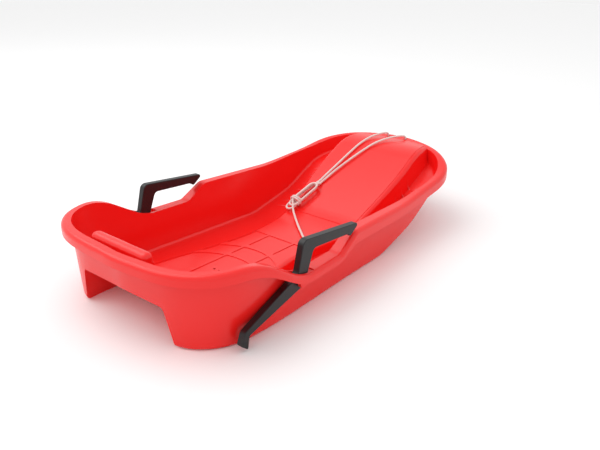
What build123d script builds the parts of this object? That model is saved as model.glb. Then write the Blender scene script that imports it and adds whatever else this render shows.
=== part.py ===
from build123d import *
from math import pi, radians, tan
import os

# Child's plastic sled with two hand brakes and a pull cord.
# +X is forward, +Y is left, +Z is up, the floor is z = 0. Sizes are in mm.

# Plan of the rim's outer edge, from tail to nose
tail_x = -422.0
nose_x = 423.0
tail_half = 112.0
waist_half = 218.0
quarter_half = waist_half - 11.0
middle_half = waist_half - 10.5
fore_half = waist_half - 20.0
bow_half = waist_half - 28.5
outline_points = 17

# Plan of the tub at the floor and at its mouth
floor_tail_x = tail_x + 31.0
floor_half = waist_half - 27.0
floor_nose_x = nose_x - 31.0
mouth_tail_x = tail_x + 11.0
mouth_half = waist_half - 20.0
mouth_nose_x = nose_x - 21.0

# Shell
wall = 3.0
mould_level = 170.0
rear_drop = 19.0
dip_drop = 15.0
bow_drop = 23.0
rim_round = 8.0
bilge_round = 9.0

# Rim heights along the side
rear_height = 140.0
dip_height = 81.0
step_height = 109.0
middle_height = 104.0
bow_height = 117.0
cheek_height = 143.0
nose_height = 150.0
rear_corner_x = -290.0
dip_rear_x = -196.0
dip_front_x = -90.0
step_x = -42.0
fore_x = 150.0
bow_x = nose_x - 123.0
cheek_x = nose_x - 38.0

# Underside
keel_break_x = nose_x - 331.0
heel_x = nose_x - 218.0
heel_rise = 30.0
toe_x = nose_x - 123.0
toe_rise = 82.0
keel_end_rise = 141.0

# Seat platform, its backrest and the bonnet in front
seat_height = 22.0
seat_rear_x = -318.0
backrest_rise = 104.0
bonnet_start_x = nose_x - 323.0
bonnet_x = nose_x - 88.0
bonnet_height = 147.0
platform_tail_half = 91.0
platform_rear_half = 109.0
platform_waist_half = 77.0
platform_fore_half = 96.0
platform_bow_half = 123.0
platform_nose_half = 88.0
tunnel_bow_x = nose_x - 205.0
tunnel_nose_gap = 25.0
platform_draft = 0.21
platform_round = 6.0
panel_rise = 1.1
panel_margin = 8.0

# Recessed cells of the seat, between two curved and two straight ribs
cell_depth = 1.2
cell_rear_x = -262.0
cell_front_x = -12.0
rib_bow = 125.0
rib_half = 6.0
rear_rib_x = -124.0
front_rib_x = -76.0
straight_rib_y = 33.0
straight_rib_half = 2.5
drain_dia = 5.0
drains = [(-189, 6), (-245, 58)]

# Rear hand hold
hold_front_x = -376.0
hold_rear_x = -397.0
hold_half = 71.0
hold_height = 146.0
hold_round = 9.0
gutter_height = 130.0

# Brake levers
lever_y = waist_half - 14.0
lever_thick = 13.0
pivot_x = -199.0
pivot_z = 70.0
pin_dia = 6.0
pin_fit = 0.2
boss_radius = 7.0
side_play = 1.5
lever_inner = lever_y - lever_thick / 2
lever_outer = lever_y + lever_thick / 2
boss_root = floor_half + 0.3
skirt_inner = waist_half - 0.4
pin_inner = boss_root + 1.2
pin_outer = skirt_inner - 0.4
slot_rear_x = -222.0
slot_front_x = -164.0

# Pull cord
cord_dia = 4.5
cord_hole_dia = 8.0
cord_hole_x = nose_x - 16.0
cord_hole_y = 24.0

reach = 480.0 + max(nose_x - 423.0, 0)
half_reach = waist_half + 42.0


def mirrored_loop(half_points):
    """Closed smooth curve through points on one side and their mirror images."""
    others = [Vector(p.X, -p.Y, p.Z) for p in half_points[-2:0:-1]]
    return Wire([Edge.make_spline(half_points + others, periodic=True)])


def rim_side():
    """Rim's outer edge on the left, from tail to nose."""
    return Spline(
        (tail_x, 0),
        (tail_x + 10, tail_half),
        (tail_x + 38, waist_half - 40),
        (tail_x + 92, quarter_half),
        (-150, waist_half),
        (0, middle_half),
        (150, fore_half),
        (267, bow_half),
        (nose_x - 105, bow_half - 5.5),
        (nose_x - 66, bow_half - 27),
        (nose_x - 34, bow_half - 69.5),
        (nose_x - 10, 65),
        (nose_x, 0),
        tangents=[(0, 1), (0, -1)],
    )


def floor_side():
    """Tub's outer edge at the floor on the left, from tail to nose."""
    return Spline(
        (floor_tail_x, 0),
        (floor_tail_x + 2, 100),
        (floor_tail_x + 15, floor_half - 41),
        (floor_tail_x + 46, floor_half - 15),
        (floor_tail_x + 91, floor_half - 2),
        (-200, floor_half),
        (0, floor_half - 11),
        (200, floor_half - 21),
        (floor_nose_x - 86, floor_half - 39),
        (floor_nose_x - 42, floor_half - 61),
        (floor_nose_x - 13, floor_half - 103),
        (floor_nose_x, 0),
        tangents=[(0, 1), (0, -1)],
    )


def mouth_side():
    """Tub's outer edge at the mould level on the left, from tail to nose."""
    return Spline(
        (mouth_tail_x, 0),
        (mouth_tail_x + 10, 104),
        (mouth_tail_x + 34, mouth_half - 32),
        (mouth_tail_x + 83, mouth_half - 2),
        (-260, mouth_half + 3),
        (-190, mouth_half),
        (0, mouth_half - 8),
        (200, mouth_half - 13.5),
        (mouth_nose_x - 84, mouth_half - 26),
        (mouth_nose_x - 50, mouth_half - 46),
        (mouth_nose_x - 22, mouth_half - 86),
        (mouth_nose_x - 6, 60),
        (mouth_nose_x, 0),
        tangents=[(0, 1), (0, -1)],
    )


def plan_loop(side, inset, level):
    """Closed outline at a level from one side's curve, drawn in by an inset."""
    points = []
    for i in range(outline_points):
        t = i / (outline_points - 1)
        point = side.position_at(t)
        along = side.tangent_at(t)
        points.append(Vector(point.X + inset * along.Y, point.Y - inset * along.X, level))
    return mirrored_loop(points)


def side_solid(line, level):
    """Everything between a side-view line and a level, right across."""
    start, end = line @ 0, line @ 1
    closing = Polyline(end, (end.X, level), (start.X, level), start)
    face = Plane.XZ * make_face(line + closing)
    return extrude(face, amount=half_reach, both=True)


def rim_line(at_rear, at_dip, at_bow):
    """Side view of the rim's top, lowered by a drop in each of its three zones."""
    pts = [
        (-reach, rear_height - at_rear),
        (rear_corner_x, rear_height - at_rear),
        (dip_rear_x, dip_height - at_dip),
        (dip_front_x, dip_height - at_dip),
        (step_x, step_height - at_bow),
        (fore_x, middle_height - at_bow),
        (bow_x, bow_height - at_bow),
        (cheek_x, cheek_height - at_bow),
        (reach, nose_height + 7 - at_bow),
    ]
    return FilletPolyline(*pts, radius=[130, 90, 22, 22, 500, 300, 200])


def keel_line(lift):
    """Side view of the underside, raised by a lift."""
    pts = [(-reach, 0), (keel_break_x, 0), (heel_x, heel_rise), (toe_x, toe_rise), (reach, keel_end_rise)]
    return Pos(0, lift) * FilletPolyline(*pts, radius=[120, 200, 150])


def platform_line(lift):
    """Side view of the backrest, seat and bonnet, raised by a lift."""
    pts = [
        (-reach, seat_height + backrest_rise),
        (seat_rear_x, seat_height),
        (bonnet_start_x, seat_height),
        (bonnet_x, bonnet_height),
        (reach, nose_height - 6),
    ]
    return Pos(0, lift) * FilletPolyline(*pts, radius=[60, 160, 120])


def tub(inset):
    """Body of the tub, or with an inset the hollow that a wall leaves inside it."""
    sides = loft([
        Face(plan_loop(floor_side(), inset, -1)),
        Face(plan_loop(mouth_side(), inset, mould_level)),
    ])
    body = sides & side_solid(keel_line(inset), 400)
    low = body.edges().filter_by(GeomType.BSPLINE)
    low = low.filter_by(lambda e: e.bounding_box().max.Z < mould_level - 1)
    return fillet(low, bilge_round - inset)


def platform_prism(grow):
    """Drafted column with the plan of the seat and bonnet, from below the floor up."""
    def plan(level):
        halves = [
            (-reach, platform_tail_half), (-220, platform_rear_half), (-20, platform_waist_half),
            (120, platform_fore_half), (250, platform_bow_half), (reach, platform_nose_half),
        ]
        left = Spline(*[(x, h - platform_draft * level + grow) for x, h in halves])
        right = Spline(*[(x, -h + platform_draft * level - grow) for x, h in halves])
        ends = Line(left @ 0, right @ 0) + Line(left @ 1, right @ 1)
        return Pos(0, 0, level) * make_face(left + right + ends)
    return loft([plan(-20), plan(mould_level)])


def platform(grow):
    """Raised middle: the open tunnel below it, or grown by a wall the seat above."""
    body = platform_prism(grow) & side_solid(platform_line(grow - wall), -60)
    top = body.edges().filter_by(lambda e: e.center().Z > 15 and abs(e.center().Y) > 40)
    top = top.filter_by(lambda e: abs(e.center().X) < reach - 5)
    return fillet(top, platform_round + grow)


def lid(inset):
    """Rounded cover over the whole plan, following the rim's height."""
    prism = extrude(Pos(0, 0, -5) * Face(plan_loop(rim_side(), inset, 0)), amount=240, dir=(0, 0, 1))
    body = prism & side_solid(rim_line(inset, inset, inset), -60)
    top = body.edges().filter_by(lambda e: e.bounding_box().min.Z > 50)
    around = top.filter_by(lambda e: abs(e.center().Y) > 5 or abs(e.center().X) > 400)
    return fillet(around, rim_round - inset)


def hand_hold(inset):
    """Bar and gutter across the tail, or with an inset the hollow under them."""
    length = hold_front_x - hold_rear_x - 2 * inset
    width = 2 * (hold_half - inset)
    height = hold_height - inset
    middle = (hold_front_x + hold_rear_x) / 2
    bar = Pos(middle, 0, height / 2) * Box(length, width, height)
    bar = fillet(bar.edges().filter_by(lambda e: e.center().Z > 1), hold_round - inset)
    base_rear = tail_x + 13 + 2 * inset
    base_front = hold_front_x - 3 - inset
    base = Box(base_front - base_rear, width, gutter_height - inset)
    base = Pos((base_front + base_rear) / 2, 0, (gutter_height - inset) / 2) * base
    return bar + base


def bonnet_panel(column):
    """Thin raised panel on the bonnet, set in from its edges."""
    zone = column & box_between((bonnet_start_x + 12, -150, 0), (floor_nose_x, 150, 300))
    return (platform(wall + panel_rise) & zone) - platform(wall - 1)


def seat_cells(column):
    """Shallow recesses of the seat, left between its curved and straight ribs."""
    low = (cell_rear_x, -150, seat_height - cell_depth)
    high = (cell_front_x, 150, seat_height + 5)
    cells = column & box_between(low, high)
    for front_x in (rear_rib_x, front_rib_x):
        ring = Cylinder(rib_bow + rib_half, 80) - Cylinder(rib_bow - rib_half, 90)
        cells -= Pos(front_x - rib_bow, 0, seat_height) * ring & box_between(
            (front_x - rib_bow, -150, 0), (0, 150, 80))
    for side in (1, -1):
        rib = Box(400, 2 * straight_rib_half, 60)
        cells -= Pos(-150, side * straight_rib_y, seat_height) * rib
    return cells


def box_between(low, high):
    """Block from its low corner to its high corner."""
    size = [b - a for a, b in zip(low, high)]
    middle = [(a + b) / 2 for a, b in zip(low, high)]
    return Pos(*middle) * Box(*size)


def build_hull():
    """One thin moulding: tub, seat tunnel, bonnet, hand hold, rolled rim, brake bosses."""
    inner = tub(wall + 1)
    column = platform_prism(wall - panel_margin)
    below = side_solid(rim_line(wall / 2, wall / 2, wall / 2), -60)
    above = platform(wall + 4) & box_between((0, -200, 0), (nose_x, 200, 300))
    above += box_between(
        (hold_rear_x - 3, -hold_half - 3, 100),
        (hold_front_x + 3, hold_half + 3, hold_height + 6),
    )
    outer = tub(0) & (below + (above & inner))
    rim = (lid(0) - lid(wall)) & side_solid(rim_line(rear_drop, dip_drop, bow_drop), 400)
    tunnel_end = box_between((-reach, -half_reach, -300), (tunnel_bow_x, half_reach, 300))
    tunnel_end += Pos(tunnel_bow_x, 0, 0) * Cylinder(nose_x - tunnel_bow_x - tunnel_nose_gap, 600)
    body = outer + rim - [platform(0) & tunnel_end, hand_hold(wall) & tub(wall + 0.5)]
    body -= tub(wall) - platform(wall) - hand_hold(0)
    additions = [bonnet_panel(column) & inner]
    cuts = [seat_cells(column)]
    for side in (1, -1):
        additions += brake_bosses(side)
        cuts.append(across(pivot_x, pivot_z, pin_dia / 2 + pin_fit / 2, pin_inner, pin_outer, side))
        cuts.append(brake_slot(side))
        cuts.append(Pos(cord_hole_x, side * cord_hole_y, nose_height) * Cylinder(cord_hole_dia / 2, 30))
        cuts += [Pos(x, side * y, seat_height) * Cylinder(drain_dia / 2, 20) for x, y in drains]
    return body + additions - cuts


def across(x, z, radius, inner, outer, side):
    """Cylinder along Y on one side, from its inner to its outer distance off centre."""
    middle = side * (inner + outer) / 2
    return Pos(x, middle, z) * Rot(90, 0, 0) * Cylinder(radius, outer - inner)


def brake_bosses(side):
    """Bosses on the tub wall and behind the skirt that hold one pivot pin."""
    inner = across(pivot_x, pivot_z, boss_radius, boss_root, lever_inner - side_play, side)
    outer = across(pivot_x, pivot_z, boss_radius, lever_outer + side_play, skirt_inner + 1, side)
    return [inner, outer]


def brake_slot(side):
    low = (slot_rear_x, side * (lever_inner - side_play), pivot_z + 8)
    high = (slot_front_x, side * (lever_outer + side_play), pivot_z + 40)
    return box_between([min(a, b) for a, b in zip(low, high)], [max(a, b) for a, b in zip(low, high)])


def lever_outline():
    """Side view of one brake: grip, post through the rim, arm and toothed foot."""
    pts = [
        (-36, 125), (-63, 106), (-70, 112.5), (-163, 119), (-178, 82), (-192, 60),
        (-317, 25), (-321, 2.5), (-334, 13), (-326, 34), (-203, 84.5), (-188, 141),
    ]
    return FilletPolyline(*pts, radius=[4, 4, 6, 10, 20, 14, 5, 2, 4, 10, 14, 12], close=True)


def build_lever(side):
    body = extrude(Plane.XZ * make_face(lever_outline()), amount=lever_thick / 2, both=True)
    rims = body.faces().filter_by(Axis.Y).edges()
    body = Pos(0, side * lever_y, 0) * fillet(rims, 1.5)
    return body - across(pivot_x, pivot_z, pin_dia / 2 + pin_fit, lever_inner - 5, lever_outer + 5, side)


def build_pin(side):
    return across(pivot_x, pivot_z, pin_dia / 2, pin_inner + 0.1, pin_outer - 0.1, side)


def arc_radii(points):
    """Largest fitting arc at each corner of a route."""
    radii = []
    for a, b, c in zip(points, points[1:], points[2:]):
        before, after = Vector(*b) - Vector(*a), Vector(*c) - Vector(*b)
        half_turn = radians(before.get_angle(after) / 2)
        radii.append(0.45 * min(before.length, after.length) / tan(half_turn))
    return radii


def cord_tube(name, points):
    radii = arc_radii(points)
    path = FilletPolyline(*points, radius=radii)
    tube = sweep(Plane(path @ 0, z_dir=path % 0) * Circle(cord_dia / 2), path=path)
    print(name, "length", round(path.length, 1), "radii", [round(r) for r in radii])
    print("   volume", round(tube.volume, 1), "section times length", round(pi * cord_dia**2 / 4 * path.length, 1))
    return tube


def build_hank():
    """Outer shape of the bundled middle of the cord, lying on the bonnet's left edge."""
    spots = [((184, 63, 73), 8, 4), ((150, 69, 57), 14, 5), ((118, 76, 42.5), 17, 5.5), ((96, 80, 34.5), 12, 4)]
    sections = []
    for spot, half_width, half_height in spots:
        plane = Plane(spot, x_dir=(0, 1, 0), z_dir=(-0.86, 0.2, -0.45))
        sections.append(plane * Ellipse(half_width, half_height))
    return loft(sections)


cord_left = [
    (407, 24, 143.7), (407, 24, 153), (389, 29, 155.5), (354, 37, 153.5), (319, 44, 143.5),
    (286, 49.5, 127), (256, 54, 111.5), (229, 59, 96.5), (205, 62.5, 84.5), (185.5, 66, 73),
]
cord_right = [
    (407, -24, 143.7), (407, -24, 153), (391, -18, 156), (362, -5, 155), (330, 9, 148.5),
    (300, 22, 134.5), (272, 33, 120), (246, 43, 106), (223, 50, 94), (203, 55, 82.5), (185.5, 60, 73),
]
cord_tail = [
    (100, 63.5, 35), (87, 48, 31), (71, 29, 28.2), (52, 7, 27.2), (35, -14, 26.8), (18, -34, 26.8), (9, -47, 26.8),
]


def build_cord():
    parts = {}
    parts["pull_cord_left"] = cord_tube("left", cord_left)
    parts["pull_cord_right"] = cord_tube("right", cord_right)
    parts["pull_cord_tail"] = cord_tube("tail", cord_tail)
    parts["pull_cord_hank"] = build_hank()
    for name, side in (("left", 1), ("right", -1)):
        parts["cord_knot_" + name] = Pos(cord_hole_x, side * cord_hole_y, 137.6) * Sphere(6)
    parts["cord_knot_end"] = Pos(5.5, -53, 26.8) * Sphere(4.7)
    return parts


os.makedirs("parts", exist_ok=True)
parts = {"hull": build_hull()}
for name, side in (("left", 1), ("right", -1)):
    parts["brake_lever_" + name] = build_lever(side)
    parts["pivot_pin_" + name] = build_pin(side)
parts.update(build_cord())
for name, shape in parts.items():
    export_step(shape, f"parts/{name}.step")
    print(name, "solids", len(shape.solids()))
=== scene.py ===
import bmesh
import bpy
from math import cos, pi, sin
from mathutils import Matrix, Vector


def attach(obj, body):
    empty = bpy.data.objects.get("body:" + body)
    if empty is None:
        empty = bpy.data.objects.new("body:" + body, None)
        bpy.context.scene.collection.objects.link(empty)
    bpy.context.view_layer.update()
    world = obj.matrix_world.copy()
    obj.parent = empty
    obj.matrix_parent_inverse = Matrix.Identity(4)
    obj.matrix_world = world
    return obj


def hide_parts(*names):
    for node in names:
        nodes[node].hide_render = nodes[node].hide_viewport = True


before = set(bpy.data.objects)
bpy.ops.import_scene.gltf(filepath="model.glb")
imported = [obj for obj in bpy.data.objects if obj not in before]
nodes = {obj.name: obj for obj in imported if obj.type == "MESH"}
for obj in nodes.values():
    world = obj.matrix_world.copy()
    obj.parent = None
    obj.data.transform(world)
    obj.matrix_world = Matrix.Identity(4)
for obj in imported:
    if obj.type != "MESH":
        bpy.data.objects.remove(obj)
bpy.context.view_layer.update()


def newMaterial(name, **values):
    mat = bpy.data.materials.new(name)
    mat.use_nodes = True
    tree = mat.node_tree
    shader = tree.nodes["Principled BSDF"]
    for socket, value in values.items():
        shader.inputs[socket.replace("_", " ")].default_value = value
    return mat, tree, shader


def addNode(tree, kind, **values):
    node = tree.nodes.new(kind)
    for key, value in values.items():
        if hasattr(node, key):
            setattr(node, key, value)
        else:
            node.inputs[key.replace("_", " ")].default_value = value
    return node


def addNoise(tree, where, scale):
    noise = addNode(tree, "ShaderNodeTexNoise", Scale=scale, Detail=2.0)
    tree.links.new(where.outputs["Object"], noise.inputs["Vector"])
    return noise.outputs["Fac"]


def addBump(tree, height, strength, depth):
    bump = addNode(tree, "ShaderNodeBump", Strength=strength, Distance=depth)
    tree.links.new(height, bump.inputs["Height"])
    return bump


def addMix(tree, share, first, second):
    mix = addNode(tree, "ShaderNodeMixRGB")
    mix.inputs["Color1"].default_value = first
    mix.inputs["Color2"].default_value = second
    tree.links.new(share, mix.inputs["Fac"])
    return mix.outputs["Color"]


def finishWith(piece, mat):
    piece.data.materials.clear()
    piece.data.materials.append(mat)


def linked(name, data):
    piece = bpy.data.objects.new(name, data)
    bpy.context.collection.objects.link(piece)
    return piece


hullLook = {
    "colour": (0.90, 0.012, 0.010, 1.0),
    "roughness": 0.24,
    "ior": 1.5,
    "waveScale": 14.0,  # slow unevenness of the moulded wall
    "waveBump": 0.02,
    "waveDepth": 0.01,
    "grainScale": 900.0,  # fine grain of the mould
    "grainBump": 0.03,
    "grainDepth": 0.0005,
}


def makeHullPlastic():
    mat, tree, shader = newMaterial(
        "redHullPlastic", Base_Color=hullLook["colour"], Roughness=hullLook["roughness"], IOR=hullLook["ior"])
    where = addNode(tree, "ShaderNodeTexCoord")
    soft = addNoise(tree, where, hullLook["waveScale"])
    fine = addNoise(tree, where, hullLook["grainScale"])
    wave = addBump(tree, soft, hullLook["waveBump"], hullLook["waveDepth"])
    grain = addBump(tree, fine, hullLook["grainBump"], hullLook["grainDepth"])
    tree.links.new(wave.outputs["Normal"], grain.inputs["Normal"])
    tree.links.new(grain.outputs["Normal"], shader.inputs["Normal"])
    return mat


leverLook = {
    "colour": (0.006, 0.006, 0.007, 1.0),
    "roughness": 0.38,
    "grainScale": 1400.0,
    "grainBump": 0.15,
    "grainDepth": 0.0003,
}


def makeLeverPlastic():
    mat, tree, shader = newMaterial(
        "blackLeverPlastic", Base_Color=leverLook["colour"], Roughness=leverLook["roughness"])
    where = addNode(tree, "ShaderNodeTexCoord")
    fine = addNoise(tree, where, leverLook["grainScale"])
    grain = addBump(tree, fine, leverLook["grainBump"], leverLook["grainDepth"])
    tree.links.new(grain.outputs["Normal"], shader.inputs["Normal"])
    return mat


pinLook = {
    "colour": (0.5, 0.5, 0.52, 1.0),
    "roughness": 0.32,
}


def makePinSteel():
    mat, tree, shader = newMaterial(
        "pinSteel", Base_Color=pinLook["colour"], Metallic=1.0, Roughness=pinLook["roughness"])
    return mat


tread = {
    "firstX": 0.150,
    "lastX": 0.285,
    "bars": 7,
    "innerY": 0.108,
    "outerY": 0.146,
    "slant": 0.012,  # how far a bar leans back towards the wall
    "width": 0.0034,
    "shoulder": 0.45,  # share of the half width where the top begins
    "proud": 0.0010,
    "sunk": 0.0004,
    "steps": 8,
    "lookFrom": 0.20,  # height from which the floor is looked for
}


def hullFloor(x, y):
    found, place, normal, index = nodes["hull"].ray_cast(Vector((x, y, tread["lookFrom"])), Vector((0, 0, -1)))
    return place


def treadRow(x, side, share):
    y = side * (tread["innerY"] + (tread["outerY"] - tread["innerY"]) * share)
    swell = tread["width"] / 2 * min(1.0, 0.25 + 4 * min(share, 1 - share))  # narrower at both ends
    middle = x - tread["slant"] * share
    profile = ((-1, -tread["sunk"]), (-tread["shoulder"], tread["proud"]),
               (tread["shoulder"], tread["proud"]), (1, -tread["sunk"]))
    return [hullFloor(middle + swell * offset, y) + Vector((0, 0, lift)) for offset, lift in profile]


def makeToeTreads():
    bm = bmesh.new()
    pitch = (tread["lastX"] - tread["firstX"]) / (tread["bars"] - 1)
    for side in (1, -1):
        for i in range(tread["bars"]):
            rows = []
            for k in range(tread["steps"] + 1):
                spots = treadRow(tread["firstX"] + pitch * i, side, k / tread["steps"])
                rows.append([bm.verts.new(spot) for spot in spots])
            for before, after in zip(rows, rows[1:]):
                for k in range(3):
                    bm.faces.new((before[k], before[k + 1], after[k + 1], after[k]))
    bmesh.ops.recalc_face_normals(bm, faces=bm.faces)
    mesh = bpy.data.meshes.new("toe_tread_bars")
    bm.to_mesh(mesh)
    bm.free()
    for face in mesh.polygons:
        face.use_smooth = True
    piece = linked("toe_tread_bars", mesh)
    finishWith(piece, hullPlastic)
    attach(piece, "sled")
    print("tread bars in the toe wells")


cord = {
    "diameter": 0.0045,
    "sides": 14,
    "colour": (0.93, 0.80, 0.76, 1),
    "paintedGapShade": (0.70, 0.50, 0.46, 1),  # painted shade in the gaps of the braid
    "roughness": 0.75,
    "sheen": 0.35,
    "strandsRound": 4.0,
    "strandsAlong": 1.1,
    "braidBump": 0.6,
    "braidDepth": 0.0006,
    "leftRoute": [
        (0.407, 0.024, 0.1437), (0.407, 0.024, 0.153), (0.389, 0.029, 0.1555), (0.354, 0.037, 0.1535),
        (0.319, 0.044, 0.1435), (0.286, 0.0495, 0.127), (0.256, 0.054, 0.1115), (0.229, 0.059, 0.0965),
        (0.205, 0.0625, 0.0845), (0.194, 0.0645, 0.0775),
    ],
    "rightRoute": [
        (0.407, -0.024, 0.1437), (0.407, -0.024, 0.153), (0.391, -0.018, 0.156), (0.362, -0.005, 0.155),
        (0.330, 0.009, 0.1485), (0.300, 0.022, 0.1345), (0.272, 0.033, 0.120), (0.246, 0.043, 0.106),
        (0.223, 0.050, 0.094), (0.203, 0.055, 0.0825), (0.1855, 0.060, 0.073),
    ],
    "tailRoute": [
        (0.100, 0.0635, 0.035), (0.087, 0.048, 0.031), (0.071, 0.029, 0.0282), (0.052, 0.007, 0.0272),
        (0.035, -0.014, 0.0268), (0.018, -0.034, 0.0268), (0.009, -0.047, 0.0268),
    ],
}


def makeCordFibre():
    mat, tree, shader = newMaterial(
        "cordFibre", Base_Color=cord["colour"], Roughness=cord["roughness"], Sheen_Weight=cord["sheen"])
    where = addNode(tree, "ShaderNodeTexCoord")
    braid = addNode(tree, "ShaderNodeMath", operation="MAXIMUM")
    for lean, slot in zip((1, -1), braid.inputs):  # two sets of strands that lean opposite ways
        scale = (cord["strandsRound"], cord["strandsAlong"] * lean, 1.0)
        mapping = addNode(tree, "ShaderNodeMapping", Scale=scale)
        wave = addNode(tree, "ShaderNodeTexWave", Scale=1.0, Distortion=0.0)
        wave.bands_direction = "DIAGONAL"
        tree.links.new(where.outputs["UV"], mapping.inputs["Vector"])
        tree.links.new(mapping.outputs["Vector"], wave.inputs["Vector"])
        tree.links.new(wave.outputs["Fac"], slot)
    # painted shade: the gaps between the braid's strands get the darker colour, as if shaded
    colour = addMix(tree, braid.outputs[0], cord["paintedGapShade"], cord["colour"])
    tree.links.new(colour, shader.inputs["Base Color"])
    bump = addBump(tree, braid.outputs[0], cord["braidBump"], cord["braidDepth"])
    tree.links.new(bump.outputs["Normal"], shader.inputs["Normal"])
    return mat


def routeLine(points):
    curve = bpy.data.curves.new("route", "CURVE")
    curve.dimensions = "3D"
    curve.resolution_u = 10
    spline = curve.splines.new("NURBS")
    spline.points.add(len(points) - 1)
    for point, place in zip(spline.points, points):
        point.co = (*place, 1)
    spline.order_u = 3
    spline.use_endpoint_u = True
    carrier = linked("route", curve)
    mesh = bpy.data.meshes.new_from_object(carrier)
    line = [v.co.copy() for v in mesh.vertices]
    bpy.data.objects.remove(carrier)
    return line


def lineLength(line):
    return sum((b - a).length for a, b in zip(line, line[1:]))


def tubeRings(line, diameter, closed):
    rings, lengths = [], []
    normal = None
    travelled = 0.0
    for i, place in enumerate(line):
        before = line[i - 1] if i > 0 or closed else place
        after = line[(i + 1) % len(line)] if i < len(line) - 1 or closed else place
        along = (after - before).normalized()
        if normal is None:
            normal = along.orthogonal().normalized()
        normal = (normal - along * normal.dot(along)).normalized()  # carried on, so the tube doesn't twist
        other = along.cross(normal)
        if i > 0:
            travelled += (place - line[i - 1]).length
        angles = [2 * pi * k / cord["sides"] for k in range(cord["sides"])]
        rings.append([place + (normal * cos(a) + other * sin(a)) * diameter / 2 for a in angles])
        lengths.append(travelled / diameter)
    return rings, lengths


def tubeMesh(name, line, diameter, closed=False):
    rings, lengths = tubeRings(line, diameter, closed)
    sides = cord["sides"]
    faces, corners = [], []
    for i in range(len(rings) if closed else len(rings) - 1):
        j = (i + 1) % len(rings)
        low = lengths[i]
        high = lengths[j] if j > i else low + 0.3
        for k in range(sides):
            m = (k + 1) % sides
            faces.append((i * sides + k, i * sides + m, j * sides + m, j * sides + k))
            corners += [(k / sides, low), ((k + 1) / sides, low), ((k + 1) / sides, high), (k / sides, high)]
    if not closed:
        last = (len(rings) - 1) * sides
        faces += [tuple(reversed(range(sides))), tuple(range(last, last + sides))]
        corners += [(0.5, 0.5)] * (2 * sides)
    mesh = bpy.data.meshes.new(name)
    mesh.from_pydata([v for ring in rings for v in ring], [], faces)
    layer = mesh.uv_layers.new(name="along")
    for loop, corner in zip(layer.data, corners):
        loop.uv = corner
    for face in mesh.polygons:
        face.use_smooth = len(face.vertices) == 4
    return linked(name, mesh)


hank = {
    "top": (0.180, 0.063, 0.0695),
    "bottom": (0.0975, 0.080, 0.0305),
    "up": (-0.45, 0.0, 0.89),  # away from the bonnet that it lies on
    "halfWidth": 0.0098,
    "rise": 0.0047,  # each turn lies on the last one
    "turns": 2,
    "pointsPerTurn": 24,
    "firstPoint": 3,
    "drift": -0.0028,
    "shortening": 0.10,
}


def hankFrame():
    top, up = Vector(hank["top"]), Vector(hank["up"]).normalized()
    run = Vector(hank["bottom"]) - top
    return top, run, run.cross(up).normalized(), up


def turnSpot(share, length, half):
    straight, fold = length - 2 * half, pi * half
    far = (share % 1) * 2 * (straight + fold)
    if far < fold / 2:  # second half of the top fold
        return half - half * cos(far / half), half * sin(far / half)
    far -= fold / 2
    if far < straight:  # run down
        return half + far, half
    far -= straight
    if far < fold:  # bottom fold
        return half + straight + half * sin(far / half), half * cos(far / half)
    far -= fold
    if far < straight:  # run back up
        return half + straight - far, -half
    far -= straight
    return half - half * sin(far / half), -half * cos(far / half)


def hankPoints():
    top, run, across, up = hankFrame()
    points = []
    count = hank["turns"] * hank["pointsPerTurn"] + hank["pointsPerTurn"] // 2
    for i in range(hank["firstPoint"], count):
        turn = i / hank["pointsPerTurn"]
        length = run.length * (1 - hank["shortening"] * turn)
        along, aside = turnSpot(turn, length, hank["halfWidth"])
        place = top + run.normalized() * along + across * (aside + hank["drift"] * (turn - 1))
        points.append(place + up * hank["rise"] * turn)
    return points


tie = {
    "along": 0.66,  # share of the hank's length
    "lift": 0.0065,
    "halfWidth": 0.0135,
    "halfHeight": 0.0088,
    "windings": 2,
    "pitch": 0.0048,
    "steps": 72,
    "thinner": 0.9,  # the tie is pulled tight
}


def makeHankTie():
    top, run, across, up = hankFrame()
    centre = top + run * tie["along"] + up * tie["lift"]
    line = []
    for i in range(tie["steps"] + 1):
        winding = tie["windings"] * i / tie["steps"]
        angle = 2 * pi * winding
        out = up * (tie["halfHeight"] * sin(angle)) - across * (tie["halfWidth"] * cos(angle))
        line.append(centre + out + run.normalized() * tie["pitch"] * (winding - 1))
    piece = tubeMesh("hank_tie", line, cord["diameter"] * tie["thinner"])
    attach(piece, "sled")
    return piece


knotShapes = {
    "steps": 72,
    "depth": 1.15,
    "stop": {"x": 0.407, "y": 0.024, "z": 0.1376, "size": 0.0058},
    "end": {"centre": (0.0055, -0.053, 0.0268), "size": 0.0047, "axis": (0.3, 0.9, 0)},
    "neck": {"centre": (0.1855, 0.061, 0.0745), "size": 0.0062, "axis": (-0.9, 0.2, -0.4)},
}


def makeKnot(name, centre, size, axis=(0, 0, 1)):
    turn = Vector((0, 0, 1)).rotation_difference(Vector(axis))
    line = []
    for i in range(knotShapes["steps"]):  # an overhand knot pulled tight, as one closed winding
        t = 2 * pi * i / knotShapes["steps"]
        spot = Vector((sin(t) + 2 * sin(2 * t), cos(t) - 2 * cos(2 * t), -knotShapes["depth"] * sin(3 * t)))
        line.append(Vector(centre) + turn @ spot * (size - cord["diameter"] / 2) / 3.0)
    piece = tubeMesh(name, line, cord["diameter"], closed=True)
    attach(piece, "sled")
    return piece


def makeKnots():
    knots = {}
    stop = knotShapes["stop"]
    for side, y in (("left", stop["y"]), ("right", -stop["y"])):
        knots[side] = makeKnot("stop_knot_" + side, (stop["x"], y, stop["z"]), stop["size"])
        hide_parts("cord_knot_" + side)
    knots["end"] = makeKnot("end_knot", **knotShapes["end"])
    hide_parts("cord_knot_end")
    knots["neck"] = makeKnot("neck_knot", **knotShapes["neck"])
    return knots


def declareCord(piece, line, standsFor):
    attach(piece, "sled")
    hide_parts(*standsFor)
    print(piece.name, round(lineLength(line), 3))


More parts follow.
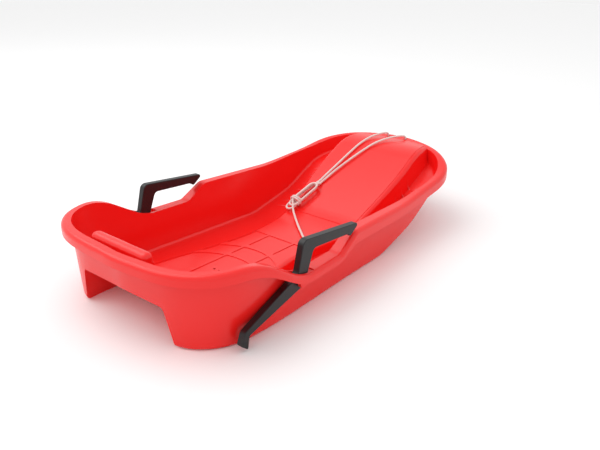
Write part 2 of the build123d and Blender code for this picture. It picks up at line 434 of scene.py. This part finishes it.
def makeCords():
    fibre = makeCordFibre()
    mainLine = routeLine(cord["leftRoute"] + hankPoints() + cord["tailRoute"])
    rightLine = routeLine(cord["rightRoute"])
    main = tubeMesh("pull_cord_main", mainLine, cord["diameter"])
    right = tubeMesh("pull_cord_second", rightLine, cord["diameter"])
    knots = makeKnots()
    binding = makeHankTie()
    for piece in [main, right, binding] + list(knots.values()):
        finishWith(piece, fibre)
    declareCord(main, mainLine, ["pull_cord_left", "pull_cord_hank", "pull_cord_tail"])
    declareCord(right, rightLine, ["pull_cord_right"])


studio = {
    "floorHalf": 6.0,
    "floorColour": (1.0, 1.0, 1.0, 1),  # what the camera sees
    "floorBounce": (0.90, 0.90, 0.90, 1),  # what lights the sled
    "floorRoughness": 0.9,
    "worldStrength": 0.90,
    "keyPlace": (-0.6, 1.2, 2.2),
    "keyTarget": (0, 0, 0.05),
    "keySize": 2.4,
    "keyPower": 26.0,
    "cameraPlace": (-0.9458, -0.8446, 0.5866),
    "cameraTarget": (-0.1226, -0.1456, 0.1289),
    "cameraLens": 40.8,
    "cameraSensor": 36,
}


def makeFloor():
    half = studio["floorHalf"]
    mesh = bpy.data.meshes.new("floor")
    corners = [(-half, -half, 0), (half, -half, 0), (half, half, 0), (-half, half, 0)]
    mesh.from_pydata(corners, [], [(0, 1, 2, 3)])
    floor = linked("floor", mesh)
    mat, tree, shader = newMaterial("paleFloor", Roughness=studio["floorRoughness"])
    path = addNode(tree, "ShaderNodeLightPath")
    colour = addMix(tree, path.outputs["Is Camera Ray"], studio["floorBounce"], studio["floorColour"])
    tree.links.new(colour, shader.inputs["Base Color"])
    finishWith(floor, mat)


def makeWorld():
    world = bpy.data.worlds.new("studio")
    world.use_nodes = True
    back = world.node_tree.nodes["Background"]
    back.inputs["Color"].default_value = (1, 1, 1, 1)
    back.inputs["Strength"].default_value = studio["worldStrength"]
    bpy.context.scene.world = world


def aim(piece, place, target):
    piece.location = place
    piece.rotation_euler = (Vector(target) - Vector(place)).to_track_quat("-Z", "Y").to_euler()


def makeKeyLamp():
    data = bpy.data.lights.new("keyLamp", "AREA")
    data.shape = "SQUARE"
    data.size = studio["keySize"]
    data.energy = studio["keyPower"]
    aim(linked("keyLamp", data), studio["keyPlace"], studio["keyTarget"])


def makeCamera():
    data = bpy.data.cameras.new("camera")
    data.sensor_width = studio["cameraSensor"]
    data.lens = studio["cameraLens"]
    camera = linked("camera", data)
    aim(camera, studio["cameraPlace"], studio["cameraTarget"])
    bpy.context.scene.camera = camera


hullPlastic = makeHullPlastic()
leverPlastic = makeLeverPlastic()
pinSteel = makePinSteel()
finishWith(nodes["hull"], hullPlastic)
for side in ("left", "right"):
    finishWith(nodes["brake_lever_" + side], leverPlastic)
    finishWith(nodes["pivot_pin_" + side], pinSteel)
print("materials on the hull, levers and pins")
makeCamera()
makeCords()
makeToeTreads()
makeFloor()
makeWorld()
makeKeyLamp()
bpy.context.scene.view_settings.view_transform = "Standard"
print("floor, world and lamp")
